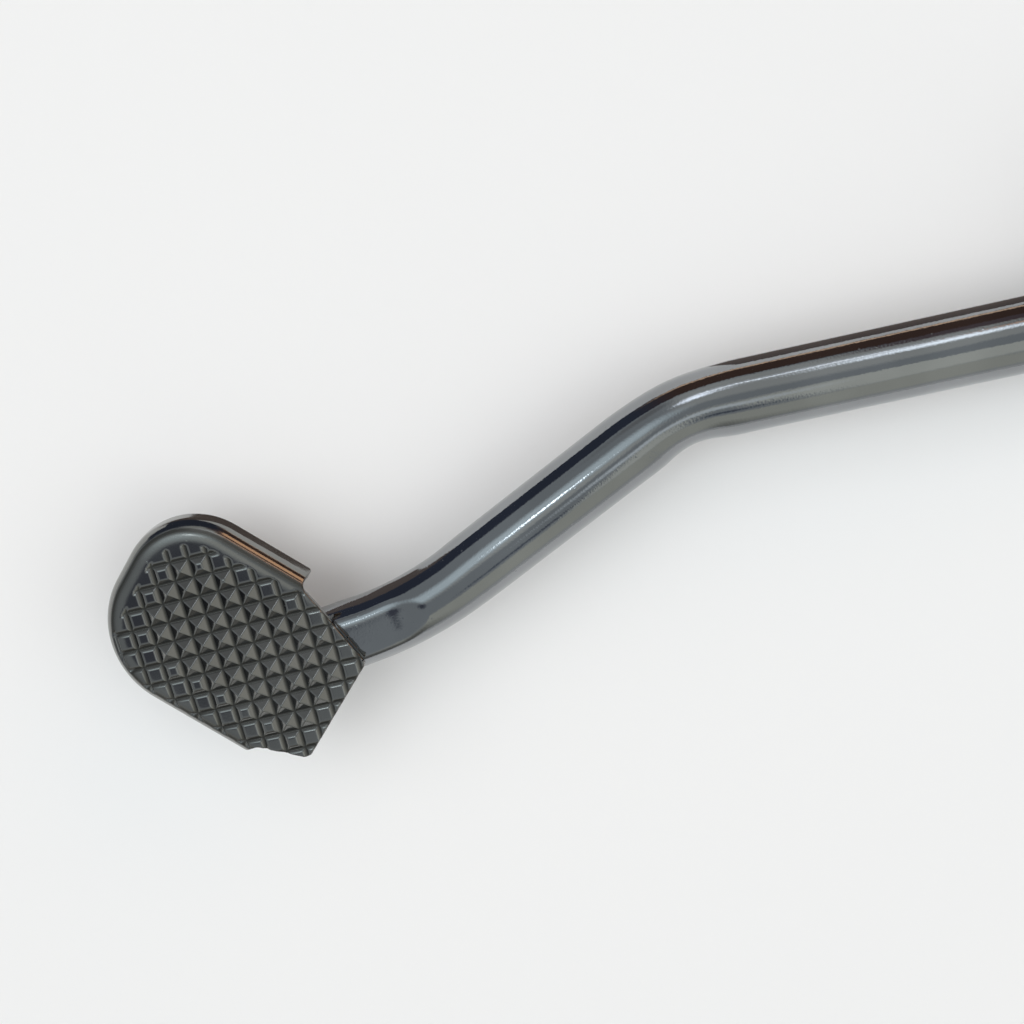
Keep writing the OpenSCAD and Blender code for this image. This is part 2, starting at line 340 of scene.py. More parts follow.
def chrome(name, grey, roughness, grain, waves, pimples, groove=None):
    """Metal of a grey colour. Grain, waves and pimples are heights in millimetres. With groove,
    the height of the bottoms of grooves, the colour is darker and the metal duller there, and
    less so above it. The sheet's underside, which is lower still, is left as it is."""
    material = bpy.data.materials.new(name)
    tree = start_tree(material)
    place = tree.add("ShaderNodeTexCoord", output="Object")

    def noise(size_mm, detail):
        """Clouds of about this size, from 0 to 1."""
        return tree.add("ShaderNodeTexNoise", {"noise_dimensions": "3D"},
                        {"Vector": place, "Scale": 1 / (size_mm * MM), "Detail": detail})

    fine = noise(grain_mm, 1.0)
    wave = noise(wave_mm, 1.0)
    cloud = noise(cloud_mm, 3.0)
    spots = tree.add("ShaderNodeTexVoronoi", {"feature": "F1"},
                     {"Vector": place, "Scale": 1 / (pimple_gap_mm * MM), "Randomness": 1.0}, "Distance")
    speck = spots.between(pimple_edge, pimple_top)
    height = fine * (grain * MM) + wave * (waves * MM) + speck * (pimples * MM)
    normal = tree.add("ShaderNodeBump", None, {"Strength": 1.0, "Distance": 1.0, "Height": height})
    dull = cloud.between(cloud_from, cloud_to)
    base = dull.mix(colour(*[v * clear_share for v in grey]), colour(*[v * dull_share for v in grey]))
    shine = roughness * (clear_rough + cloud_rough * dull) + speck * pimple_dulls
    if groove is not None:
        # Darker colour and duller metal near the bottoms of the grooves, fading above, none underneath.
        up = tree.add("ShaderNodeSeparateXYZ", None, {0: place}, "Z")
        groove_dark = up.between((groove + groove_dark_ends) * MM, (groove + groove_dark_full) * MM) * groove_dark_cover
        groove_dark = groove_dark * up.between((groove + under_ends) * MM, (groove + under_full) * MM)
        base = groove_dark.mix(base, groove_dark_colour)
        shine = shine + groove_dark * groove_dark_dulls
    surface = tree.add("ShaderNodeBsdfPrincipled", None,
                       {"Base Color": base, "Metallic": 1.0, "Roughness": shine, "Normal": normal})
    tree.add("ShaderNodeOutputMaterial", None, {"Surface": surface})
    return material


arm_chrome = chrome("arm_chrome", (0.30, 0.31, 0.32), roughness=0.07, grain=0.011, waves=0.05,
                    pimples=0.02)
fitting_chrome = chrome("fitting_chrome", (0.30, 0.31, 0.32), roughness=0.12, grain=0.004,
                        waves=0.03, pimples=0.02)
weld_chrome = chrome("weld_chrome", (0.28, 0.29, 0.30), roughness=0.18, grain=0.01, waves=0.05,
                     pimples=0.03)
tread_chrome = chrome("tread_chrome", (0.25, 0.25, 0.24), roughness=0.14, grain=0.005, waves=0.03,
                      pimples=0.02, groove=groove_z)
finishes = [arm_chrome, fitting_chrome, weld_chrome, tread_chrome]
print("finishes:", [finish.name for finish in finishes])


def finish_piece(piece, material, slot, *nodes):
    """Gives a finished piece its material, hangs it on the root and hides the solids it replaces."""
    piece.data.materials.append(material)
    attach(piece, "root")
    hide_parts(*nodes)


# %% [markdown]
# ## The arm
#
# The skin of the tube is a grid: rows along the middle line and columns round it. It turns
# inwards at the open end, runs back inside the tube and closes at the pivot, so the grid wraps
# both ways and has a wall. Three things happened to the real tube after it was drawn. Its top
# was pressed flat as a seat for the plate, the bends drew it a little oval, and the inside of
# the middle bend kinked.

# %% The tube's skin
# The dent in the middle bend, its shoulders, and how far both reach round the tube in radians.
middle_bend_start = line[3][0]
dent_at, dent_depth, dent_len = middle_bend_start + 10.2, 0.5, 5.5
shoulder_off, shoulder_rise, shoulder_len = 11.0, 0.16, 4.0
kink_spread = 0.75
# How much each bend flattens the tube, and where that starts outside and is full inside it.
oval, oval_out, oval_in = [0.2, 0.45, 0.15], 6.0, 5.0
# The rounding of the seat's edges, and the share of the run-out circle that is used.
seat_edge, seat_rise_share = 1.3, 0.9


def seat_height(s):
    """Height of the pressed seat over the middle of the tube at the length s. The seat is flat
    for its length from the open end and then rises as a circle of the run-out radius."""
    run = np.clip(arm_len - s - seat_len, 0, seat_runout_r * seat_rise_share)
    return seat_z + seat_runout_r - np.sqrt(seat_runout_r ** 2 - run ** 2)


def tube_skin(s, round_pos, wall):
    """Points of the tube wall mm inside its outer skin, at the lengths s and the angles
    round_pos, which run from the arm's left over its top. In the plane of the bends the radius
    is less by the ovality, and over the seat the height is capped. On the inside of the middle
    bend the skin has a dent between two low shoulders."""
    middle, direction = centreline(s)
    left = 1j * direction
    flat = np.zeros_like(s)
    for bend, amount in enumerate(oval):
        start, end = line[2 * bend + 1][0], line[2 * bend + 2][0]
        flat += (amount * step(s, start - oval_out, start + oval_in)
                 * step(s, end + oval_out, end - oval_in))
    across = (tube_r - wall - flat[:, None] * (1 - 0.5 * wall / tube_wall)) * np.cos(round_pos)
    off = s - dent_at
    shoulders = shoulder_rise * bump(np.abs(off) - shoulder_off, shoulder_len)
    kink = shoulders - dent_depth * bump(off, dent_len)
    if wall == 0:
        across = across + kink[:, None] * bump(np.angle(np.exp(1j * round_pos)), kink_spread)
    height = (tube_r - wall) * np.sin(round_pos)
    height = smooth_min(height, seat_height(s)[:, None] - wall, seat_edge)
    place = middle[:, None] + left[:, None] * across
    return np.stack([place.real, place.imag, height + 0 * across], axis=-1)


print("the seat rises from", seat_z, "mm, and the dent is", round(dent_at, 1), "mm along the arm")

# %% Arm
rim_round = 0.4
round_count, skin_rows, wall_rows, rim_rows = 144, 380, 90, 4


def cope(points, s):
    """Moves the points of the first straight along the tube so that its end fits the pivot
    tube. A point that lies z above the middle meets the pivot sqrt(pivot_r^2 - z^2) out."""
    run = straights[0]
    start = np.sqrt(pivot_r ** 2 - points[..., 2] ** 2)
    share = np.clip(1 - s / run, 0, 1)[:, None]
    points[..., 0] -= share * start
    return points


def arm_points():
    """The rows of the arm: out along the skin, over the rim and back inside the wall."""
    angles = np.linspace(0, 2 * np.pi, round_count, endpoint=False)[None, :]
    along = np.linspace(0, arm_len - rim_round, skin_rows)
    outer = cope(tube_skin(along, angles, 0), along)
    inner_along = np.linspace(arm_len - rim_round, 0, wall_rows)
    inner = cope(tube_skin(inner_along, angles, tube_wall), inner_along)
    rim_angle = np.linspace(0, np.pi / 2, rim_rows)[1:]
    rim = [tube_skin(np.array([arm_len - rim_round * (1 - np.sin(a))]), angles,
                     rim_round * (1 - np.cos(a))) for a in rim_angle]
    back_rim = [tube_skin(np.array([arm_len - rim_round * (1 - np.cos(a))]), angles,
                          tube_wall - rim_round * (1 - np.sin(a))) for a in rim_angle[:-1]]
    return np.concatenate([outer, *rim, *back_rim, inner])


skin = arm_points()
arm = make_object("arm", skin.reshape(-1, 3), [grid_faces(*skin.shape[:2], True, True)])
finish_piece(arm, arm_chrome, "arm_chrome", "pedal_arm")

# %% [markdown]
# ## The plate's form
#
# The tread plate is one piece of sheet. A press coined the pyramids into it, cut its outline
# and rolled the edge down round a radius. The mesh is made the same way: a flat blank is
# described first, and a formula then wraps its edge over the roll. Lengths are kept over the
# roll, so the grid stays even there and the highlight runs round it without a break.

# %% Forming
roll_r, flange_depth = 4.0, 7.5
lead, lead_turn, flange_turn = 2.2, np.radians(8.0), np.radians(82.5)
rear_corner_r, front_corner_r = 20.0, 24.0
half_w, half_len = plate_w / 2, plate_len / 2
rear_corner = complex(half_w - rear_corner_r, half_len - rear_corner_r)
front_corner = complex(front_corner_r - half_w, half_len - front_corner_r)
section_len, section_points = 14.0, 1401
tiny = 1e-9


def beyond_corner(q, r):
    """Distance of q past a rounded corner of radius r whose middle is the origin, and the
    direction of it. Inside, it is the distance to the nearer side, less than nothing."""
    out = np.maximum(q.real, 0) + 1j * np.maximum(q.imag, 0)
    length = np.abs(out)
    way = out / np.maximum(length, tiny)
    return length + np.minimum(np.maximum(q.real, q.imag), 0) - r, way


def past_roll_line(p):
    """How far the points p of the blank lie past the line where the roll starts, and which way."""
    rear, rear_way = beyond_corner(p - rear_corner, rear_corner_r - roll_r)
    front, front_way = beyond_corner(-np.conj(p - front_corner), front_corner_r - roll_r)
    return np.maximum(rear, front), np.where(rear > front, rear_way, -np.conj(front_way))


def roll_profile():
    """The section of the pressed sheet from the start of the lead: the distance along the sheet
    and there its turn, how far out it is and how far down. The turn rises evenly over the lead,
    then faster over the roll, so that the roll ends as far out as the roll radius says."""
    end_out = lead + roll_r * np.sin(flange_turn)
    lead_r = lead / lead_turn
    tight_r = (end_out - lead_r * np.sin(lead_turn)) / (np.sin(flange_turn) - np.sin(lead_turn))
    along = np.linspace(0, section_len, section_points)
    turn = np.interp(along, [0, lead, lead + tight_r * (flange_turn - lead_turn)],
                     [0, lead_turn, flange_turn])
    mid_turn = (turn[1:] + turn[:-1]) / 2
    gap = along[1]
    out = np.concatenate([[0], np.cumsum(np.cos(mid_turn))]) * gap
    drop = np.concatenate([[0], np.cumsum(np.sin(mid_turn))]) * gap
    return along, turn, out, drop


profile_along, profile_turn, profile_out, profile_drop = roll_profile()


def form(p, above):
    """The points p of the blank in the pressed plate, lifted by above along its normal. Past
    the start of the lead a point moves out and down as the section says."""
    past, way = past_roll_line(p)
    past = np.clip(past + lead, 0, profile_along[-1])
    turn = np.interp(past, profile_along, profile_turn)
    out = np.interp(past, profile_along, profile_out)
    drop = np.interp(past, profile_along, profile_drop)
    flat = p + way * (out - past + above * np.sin(turn))
    return np.stack([flat.real, flat.imag, margin_z - drop + above * np.cos(turn)], axis=-1)


blank_reach = np.interp(flange_depth, profile_drop, profile_along) - lead
print("the blank reaches", round(blank_reach, 2), "mm past the roll line")

# %% [markdown]
# ## The plate's outline
#
# The blank ends where its flange is deep enough, and at the tail it was trimmed after forming:
# a short end, two tapered sides, and a round notch on each side where the flange stops. Each
# cut is a distance, positive inside, and the outline is the smallest of them. Taking that
# smallest value with a rounded corner gives every corner of the sheet its radius.

# %% Outline
rear_flange_len, front_flange_len = 43.5, 53.8
notch_r, tail_w, tail_shift, tail_corner_r = 3.0, 31.5, 1.5, 1.6
tail_taper, front_end_slant = np.radians([20.0, 30.0])
flange_corner_r = 1.2


def inside_both(a, b, r):
    """The smaller of two distances, with the corner between them rounded to the radius r."""
    corner = r - np.hypot(np.maximum(r - a, 0), np.maximum(r - b, 0))
    return np.where((a < r) & (b < r), corner, np.minimum(a, b))


def inside_tail(x, y, flange, half_tail, slant):
    """Distance inside the tapered side, the notch and the end of the flange on the side that
    x points to. The flange ends on a line that slants up from x."""
    along, across = np.sin(tail_taper), np.cos(tail_taper)
    mid_y = half_len - flange - notch_r
    mid_x = half_tail + (mid_y + half_len) * along / across + notch_r / across
    taper = (half_tail - x) * across + (y + half_len) * along
    notch = np.hypot(x - mid_x, y - mid_y) - notch_r
    end_way = np.exp(1j * slant)
    from_mid = (x - mid_x + 1j * (y - mid_y)) * np.conj(end_way)
    flange_end = from_mid.imag - notch_r
    ahead = (x - mid_x) * along + (y - mid_y) * across > 0
    return np.where(ahead, np.where(from_mid.real > 0, flange_end, notch), taper)


def inside_outline(p):
    """Distance of the points p of the blank inside the plate's outline."""
    past, _ = past_roll_line(p)
    x, y, _ = np.moveaxis(form(p, 0), -1, 0)
    rear = inside_tail(x, y, rear_flange_len, tail_w / 2 - tail_shift, 0)
    front = inside_tail(-x, y, front_flange_len, tail_w / 2 + tail_shift, front_end_slant)
    sides = inside_both(rear, front, flange_corner_r)
    tail = inside_both(sides, y + half_len, tail_corner_r)
    return inside_both(tail, blank_reach - past, flange_corner_r)


print("the tail is", tail_w, "mm wide, with notches of radius", notch_r, "mm")

# %% [markdown]
# ## The pyramids
#
# Two families of V grooves cross at right angles, turned 45 degrees to the plate, and leave
# pyramids between them. The punch was crowned: near the margins a pyramid didn't reach its full
# height, so the outer ones end in flat squares, each level all over, and only the ones in the
# middle come to a point. The grooves run out into the margin over a short slope.

# %% Tread
pitch, tread_rise = 5.2, 1.8
# The field's margins at the rear and in front, and the length over which a groove runs out.
field_margin, front_margin, groove_end = 6.2, 2.0, 0.7
margin_lean = np.radians(5.5)
# The depths inside the field and inside the tail over which pyramids grow to their full height.
crown_from, crown_to, tail_from, tail_to = 3.2, 7.6, 2.6, 5.5
crown_edge = 0.12
first_point = complex(-0.4, 1.3)
along_row = np.exp(0.25j * np.pi)
point_lift = tread_rise - margin_rise


def inside_field(p, off_rear, off_front):
    """Distance of p inside an edge that keeps these distances from the plate's rear and front
    sides. The rear one narrows a little towards the tail."""
    q = p - rear_corner
    lean = np.exp(-1j * margin_lean)
    sideways = (q * lean).real
    round_corner = (sideways > 0) & ((q * lean).imag > 0) & (q.real > 0)
    rear = np.where(round_corner, np.abs(q), np.maximum(sideways, q.imag))
    front, _ = beyond_corner(-np.conj(p - front_corner), front_corner_r - off_front)
    return np.minimum(rear_corner_r - off_rear - rear, -front)


def tread_lift(p):
    """Height of the tread over the margin. A pyramid falls from its point by the larger of its
    two distances along the rows. How deep its middle lies inside the field says how much of it
    the punch left: next to a margin its flat top is level with the margin."""
    rows = (p - first_point) * np.conj(along_row) / pitch
    middle = np.round(rows.real) + 1j * np.round(rows.imag)
    off = np.maximum(np.abs(rows.real - middle.real), np.abs(rows.imag - middle.imag))
    pyramid = tread_rise * (1 - 2 * off) - margin_rise
    at_middle = first_point + middle * pitch * along_row
    from_edge = inside_field(at_middle, field_margin, field_margin)
    crown = np.minimum(step(from_edge, crown_from, crown_to),
                       step(inside_outline(at_middle), tail_from, tail_to))
    lift = smooth_min(pyramid, point_lift * crown, crown_edge)
    return lift * step(inside_field(p, field_margin, front_margin), 0, groove_end)


print("the pyramids stand", pitch, "mm apart and", round(point_lift, 2), "mm over the margin")

# %% [markdown]
# ## The plate's mesh
#
# The grid of the mesh lies along the rows of pyramids, so that each ridge and each groove is a
# line of edges and stays crisp. Triangles whose middle is inside the outline are kept, and the
# points on their border are slid on to the outline. The underside is the same sheet without
# the pattern, one thickness lower, and a rounded rim joins the two.

# %% Blank
# Cells of the mesh to a pyramid, and the spare blank round the plate.
cells, spare = 16, 8.0
rim_r = 0.35
slides, longest_slide, least_slope = 4, 0.4, 0.25


def blank_grid():
    """Points of the blank along the rows of pyramids, and the triangles between them. A cell
    is split along the ridge that runs through it."""
    reach = int(np.ceil((half_len + blank_reach + spare) / pitch)) * cells
    ticks = np.arange(-reach, reach + 1)
    rows = ticks[:, None] + 1j * ticks[None, :]
    p = first_point + rows * along_row * pitch / cells
    n = len(ticks)
    number = np.arange(n * n).reshape(n, n)
    a, b, c, d = (number[:-1, :-1], number[1:, :-1], number[1:, 1:], number[:-1, 1:])
    mid = (ticks[:-1] + 0.5) / cells
    off = mid - np.round(mid)
    rising = (off[:, None] * off[None, :] > 0)[..., None]
    one = np.where(rising, np.stack([a, b, c], -1), np.stack([a, b, d], -1))
    two = np.where(rising, np.stack([a, c, d], -1), np.stack([b, c, d], -1))
    return p.ravel(), np.concatenate([one.reshape(-1, 3), two.reshape(-1, 3)])


def border_of(triangles, count):
    """The directed edges that only one triangle has."""
    edges = np.concatenate([triangles[:, [0, 1]], triangles[:, [1, 2]], triangles[:, [2, 0]]])
    there = edges[:, 0] * count + edges[:, 1]
    back_again = edges[:, 1] * count + edges[:, 0]
    return edges[~np.isin(there, back_again)]


def slope(p):
    """Gradient of the distance inside the outline, as a complex number: its differences over
    a small length h to both sides."""
    h = 0.01
    return (inside_outline(p + h) - inside_outline(p - h)
            + 1j * (inside_outline(p + 1j * h) - inside_outline(p - 1j * h))) / (2 * h)


def cut_blank():
    """The blank cut to its outline less the rim: its points, its triangles, the edges of its
    border and the points on it. A point slides by its miss divided by the slope."""
    p, triangles = blank_grid()
    inside = inside_outline(p)
    triangles = triangles[inside[triangles].mean(axis=1) > rim_r]
    used, flat = np.unique(triangles, return_inverse=True)
    p, triangles = p[used], flat.reshape(-1, 3)
    border = border_of(triangles, len(p))
    edge = np.unique(border)
    for _ in range(slides):
        g = slope(p[edge])
        miss = np.clip(inside_outline(p[edge]) - rim_r, -longest_slide, longest_slide)
        p[edge] -= miss * g / np.maximum(np.abs(g) ** 2, least_slope)
    return p, triangles, border, edge


blank = cut_blank()
print("the blank has", len(blank[0]), "points,", len(blank[3]), "of them on its border")

# %% Plate
rim_turns = np.radians([30.0, 60.0, 90.0])
probe = 0.05


def rim_rings(p, top, under):
    """Rows of points round the rim, for the points p of the border and their places on the top
    and the underside. One quarter circle turns down from the top, another one up from below."""
    g = slope(p)
    g = g / np.maximum(np.abs(g), tiny)
    out = form(p - probe * g, 0) - form(p, 0)
    out = out / np.linalg.norm(out, axis=1)[:, None]
    normal = form(p, 1) - form(p, 0)
    upper = [top + rim_r * (out * np.sin(t) - normal * (1 - np.cos(t))) for t in rim_turns]
    lower = [under + rim_r * (out * np.sin(t) + normal * (1 - np.cos(t))) for t in rim_turns[::-1]]
    return upper + lower


def plate_mesh(p, triangles, border, edge):
    """Points and faces of the pressed plate in its own axes, from the cut blank. The points are
    those of the top, the underside and the rings of the rim, and strips of quads join one ring
    to the next."""
    top, under = form(p, tread_lift(p)), form(p, -sheet)
    rings = rim_rings(p[edge], top[edge], under[edge])
    count = len(p)
    place = np.zeros(count, int)
    place[edge] = np.arange(len(edge))
    i, j = place[border[:, 0]], place[border[:, 1]]
    first_of_ring = 2 * count + len(edge) * np.arange(len(rings))
    numbers = [edge, *(first + np.arange(len(edge)) for first in first_of_ring), count + edge]
    strips = [np.stack([low[i], low[j], high[j], high[i]], axis=1)
              for high, low in zip(numbers[:-1], numbers[1:])]
    points = np.concatenate([top, under, *rings])
    return points, [triangles, triangles[:, ::-1] + count, *strips]


plate_points, plate_faces = plate_mesh(*blank)
plate_mid = arm_end - plate_back * arm_dir - plate_side * 1j * arm_dir
turned = (plate_points[:, 0] + 1j * plate_points[:, 1]) * np.exp(1j * plate_turn) + plate_mid
plate_points = np.stack([turned.real, turned.imag, plate_points[:, 2]], axis=1)
plate = make_object("tread", plate_points, plate_faces)
finish_piece(plate, tread_chrome, "tread_chrome", "tread_plate")

# %% [markdown]
# ## The pivot tube
#
# The pivot tube was turned on a lathe, so it is a closed profile spun round the Y axis. The
# profile runs along the outside, over the chamfers and back through the bore, and small arcs
# take the place of its sharp corners.

# %% Pivot tube
pivot_chamfer, pivot_corner_r, spin_count = 0.8, 0.25, 160


def round_corners(corners, radius, steps=4):
    """A closed outline whose corners are replaced by curves. Each is a parabola between two
    points that lie radius before and after the corner."""
    corners = np.asarray(corners, float)
    before, after = [np.roll(corners, shift, axis=0) - corners for shift in (1, -1)]
    start = corners + radius * before / np.linalg.norm(before, axis=1)[:, None]
    end = corners + radius * after / np.linalg.norm(after, axis=1)[:, None]
    t = np.linspace(0, 1, steps)[:, None, None]
    curve = (1 - t) ** 2 * start + 2 * t * (1 - t) * corners + t ** 2 * end
    return np.moveaxis(curve, 0, 1).reshape(-1, 2)


half = pivot_len / 2
profile = round_corners([(pivot_r, -half + pivot_chamfer), (pivot_r, half - pivot_chamfer),
                         (pivot_r - pivot_chamfer, half), (bore_r, half), (bore_r, -half),
                         (pivot_r - pivot_chamfer, -half)], pivot_corner_r)
spin = np.linspace(0, 2 * np.pi, spin_count, endpoint=False)[:, None]
ring = np.stack([profile[:, 0] * np.cos(spin), profile[:, 1] + 0 * spin,
                 profile[:, 0] * np.sin(spin)], axis=-1)
pivot = make_object("pivot", ring.reshape(-1, 3), [grid_faces(*ring.shape[:2], True, True)])
finish_piece(pivot, fitting_chrome, "fitting_chrome", "pivot_tube")

# %% [markdown]
# ## The lever and the lug
#
# Both are flat pieces cut from plate. The lever has two round ends joined by their tangents and
# a hole in each end, one for the pivot tube and one for the rod's pin. The lug has a round tip
# with one hole, and its root ends inside the pivot tube's wall. A flat curve with a bevel suits
# them, because Blender fills it round its holes and rounds every edge, as the polishing wheel
# did. It is turned into a mesh before its points are put in place, so the object stays at the
# origin.

# %% Outlines of flat pieces
lever_len, lever_ring, lever_tip_r = 50.0, 6.0, 9.0
rod_hole_r, slip_gap = 4.1, 0.1
lug_len, lug_tip_r, lug_root_r, lug_depth, spring_hole_r = 21.0, 6.5, 9.0, 2.5, 2.25


def arc(mid, radius, start, end, count):
    """Points on a circle from the angle start to the angle end."""
    return mid + radius * np.exp(1j * np.linspace(start, end, count))


def circle(mid, radius, count):
    """Points round a whole circle."""
    return mid + radius * np.exp(2j * np.pi * np.arange(count) / count)


def link(big, small, reach):
    """Outline between a circle of radius big at the origin and one of radius small at reach.
    Their common tangents touch them at the angle whose cosine is (big - small) / reach."""
    a = np.arccos((big - small) / reach)
    return np.concatenate([arc(0, big, a, 2 * np.pi - a, 90), arc(reach, small, -a, a, 60)])


def seated_link(big, small, reach, seat):
    """The same sides and tip, but the root is an arc of radius seat about the origin, a radius
    larger than big. The sides meet it at the tangent's angle less arccos(big / seat)."""
    a = np.arccos((big - small) / reach)
    b = a - np.arccos(big / seat)
    return np.concatenate([arc(reach, small, -a, a, 60), arc(0, seat, b, -b, 40)])


lever_outlines = [link(pivot_r + lever_ring, lever_tip_r, lever_len),
                  circle(0, pivot_r + slip_gap / 2, 160), circle(lever_len, rod_hole_r, 64)]
lug_outlines = [seated_link(lug_root_r, lug_tip_r, lug_len, pivot_r - lug_depth),
                circle(lug_len, spring_hole_r, 48)]
print("points of the outlines:", [len(outline) for outline in lever_outlines + lug_outlines])

# %% Flat pieces
edge_round, round_steps = 0.5, 3
merge_gap = 0.002
lever_t, lever_set, lever_angle = 6.0, 3.5, np.radians(82.0)
lug_t, lug_angle = 5.0, np.radians(-45.0)


def flat_piece(name, outlines, y, thickness, angle):
    """A plate square across the pivot axis, from y outwards, whose outline's X points up from
    the rear by the angle. Its edges are rounded inside its outline."""
    curve = bpy.data.curves.new(name, "CURVE")
    curve.dimensions, curve.fill_mode = "2D", "BOTH"
    curve.extrude = thickness / 2 - edge_round
    curve.bevel_depth, curve.bevel_resolution = edge_round, round_steps
    curve.offset = -edge_round
    for outline in outlines:
        spline = curve.splines.new("POLY")
        spline.points.add(len(outline) - 1)
        level = np.zeros(len(outline))
        row = np.stack([outline.real, outline.imag, level, level + 1], axis=1)
        spline.points.foreach_set("co", row.ravel())
        spline.use_cyclic_u = True
    shape = bpy.data.objects.new(name, curve)
    bpy.context.scene.collection.objects.link(shape)
    shape_now = shape.evaluated_get(bpy.context.evaluated_depsgraph_get())
    mesh = bpy.data.meshes.new_from_object(shape_now)
    bpy.data.objects.remove(shape)
    points = np.zeros(len(mesh.vertices) * 3)
    mesh.vertices.foreach_get("co", points)
    x, z, lift = points.reshape(-1, 3).T
    flat = (x + 1j * z) * np.exp(1j * angle)
    placed = np.stack([flat.real, y + thickness / 2 - lift, flat.imag], axis=1)
    mesh.vertices.foreach_set("co", (placed * MM).ravel())
    mesh.name = name
    return mesh


def polished(mesh):
    """An object of a flat piece's mesh, merged, closed and with flat faces that shade flat."""
    work = bmesh.new()
    work.from_mesh(mesh)
    bmesh.ops.remove_doubles(work, verts=work.verts, dist=merge_gap * MM)
    bmesh.ops.recalc_face_normals(work, faces=work.faces)
    work.to_mesh(mesh)
    work.free()
    mesh.polygons.foreach_set("use_smooth", np.ones(len(mesh.polygons), bool))
    piece = bpy.data.objects.new(mesh.name, mesh)
    bpy.context.scene.collection.objects.link(piece)
    shading = piece.modifiers.new("flat faces shade flat", "WEIGHTED_NORMAL")
    shading.weight = 100
    print(piece.name, len(mesh.vertices), "points,", len(mesh.polygons), "faces")
    return piece


lever_y = lever_set - pivot_len / 2
lever = polished(flat_piece("lever", lever_outlines, lever_y, lever_t, lever_angle))
finish_piece(lever, fitting_chrome, "fitting_chrome", "rod_lever")

lug_y = arm_offset - lug_t / 2
lug = polished(flat_piece("lug", lug_outlines, lug_y, lug_t, lug_angle))
finish_piece(lug, fitting_chrome, "fitting_chrome", "stop_lug")

# %% [markdown]
# ## The weld beads
#
# A bead is a round bar of metal laid into a corner, and each drop that froze on the last one
# leaves a ripple. So a bead is a ring of points carried along the seam, whose radius swells
# and shrinks with the length, and an open bead comes to a blunt point at each end.

# %% A bead
ripple, ripple_len = 0.12, 1.5
# Points round a bead, the length of an open bead's end in radii, and what is left at its tip.
bead_count, end_share, end_least = 20, 1.5, 1e-4


def bead(name, node, seam, outward, radius, closed):
    """A bead along the points of the seam, in place of the node. Outward is the direction that
    it faces at each point. The ring's plane holds outward and the direction square to it and to
    the seam. At the length s its radius is radius (1 + ripple sin(2 pi s / ripple_len)), with
    ripple_len stretched so that whole drops fit, and an open bead ends in a quarter ellipse."""
    ahead = np.roll(seam, -1, axis=0) - np.roll(seam, 1, axis=0)
    if not closed:
        ahead[0], ahead[-1] = seam[1] - seam[0], seam[-1] - seam[-2]
    ahead = ahead / np.linalg.norm(ahead, axis=1)[:, None]
    outward = outward - ahead * np.sum(outward * ahead, axis=1)[:, None]
    outward = outward / np.linalg.norm(outward, axis=1)[:, None]
    side = np.cross(ahead, outward)
    pieces = np.linalg.norm(np.roll(seam, -1, axis=0) - seam, axis=1)
    s = np.concatenate([[0], np.cumsum(pieces)[:-1]])
    whole = np.sum(pieces) if closed else s[-1]
    drops = max(round(whole / ripple_len), 1)
    r = radius * (1 + ripple * np.sin(2 * np.pi * s * drops / whole))
    if not closed:
        end = np.minimum(s, whole - s) / (end_share * radius)
        r = r * np.sqrt(np.clip(1 - (1 - np.clip(end, 0, 1)) ** 2, end_least, 1))
    turn = np.linspace(0, 2 * np.pi, bead_count, endpoint=False)[None, :, None]
    points = seam[:, None] + r[:, None, None] * (np.cos(turn) * outward[:, None]
                                                 + np.sin(turn) * side[:, None])
    rows, cols = points.shape[:2]
    faces = [grid_faces(rows, cols, closed, True)]
    if not closed:
        faces.append(np.arange(cols)[None, ::-1])
        faces.append((rows - 1) * cols + np.arange(cols)[None, :])
    piece = make_object(name, points.reshape(-1, 3), faces)
    finish_piece(piece, weld_chrome, "weld_chrome", node)


# %% Seams
seat_half = np.sqrt(tube_r ** 2 - seat_z ** 2)
seat_bead_from, seat_bead_out, seat_bead_down, seat_bead_tilt = 3.0, 0.9, 1.1, 0.6
print("the seat is", round(2 * seat_half, 2), "mm wide")


def round_seam(y, facing, start, turn, count, closed):
    """A seam round the pivot tube at y, and the direction between the tube's radius and the
    way that the face looks."""
    a = start + turn * np.linspace(0, 1, count, endpoint=not closed)
    radial = np.stack([np.cos(a), 0 * a, np.sin(a)], axis=1)
    seam = pivot_r * radial + [0, y, 0]
    return seam, radial + [0, facing, 0]


def arm_seam(count):
    """The seam where the arm meets the pivot tube. At the angle a round the arm's skin it lies
    sqrt(pivot_r^2 - z^2) out from the pivot axis, with z = tube_r sin(a)."""
    a = np.linspace(0, 2 * np.pi, count, endpoint=False)
    z = tube_r * np.sin(a)
    x = -np.sqrt(pivot_r ** 2 - z ** 2)
    seam = np.stack([x, arm_offset + tube_r * np.cos(a), z], axis=1)
    skin = np.stack([0 * a, np.cos(a), np.sin(a)], axis=1)
    pivot_normal = np.stack([x, 0 * a, z], axis=1) / pivot_r
    return seam, skin + pivot_normal


def seat_seam(facing, end, count):
    """The straight seam under the plate along one edge of the seat, and the direction out of
    the corner. Facing is 1 on the rear side. The seam ends at this length from the open end."""
    from_end = np.linspace(seat_bead_from, end, count)
    edge_line = arm_end - arm_dir * from_end - facing * 1j * arm_dir * (seat_half + seat_bead_out)
    seam = np.stack([edge_line.real, edge_line.imag, 0 * from_end + seat_z - seat_bead_down], axis=1)
    way = -facing * 1j * arm_dir
    return seam, np.tile([way.real, way.imag, -seat_bead_tilt], (count, 1))


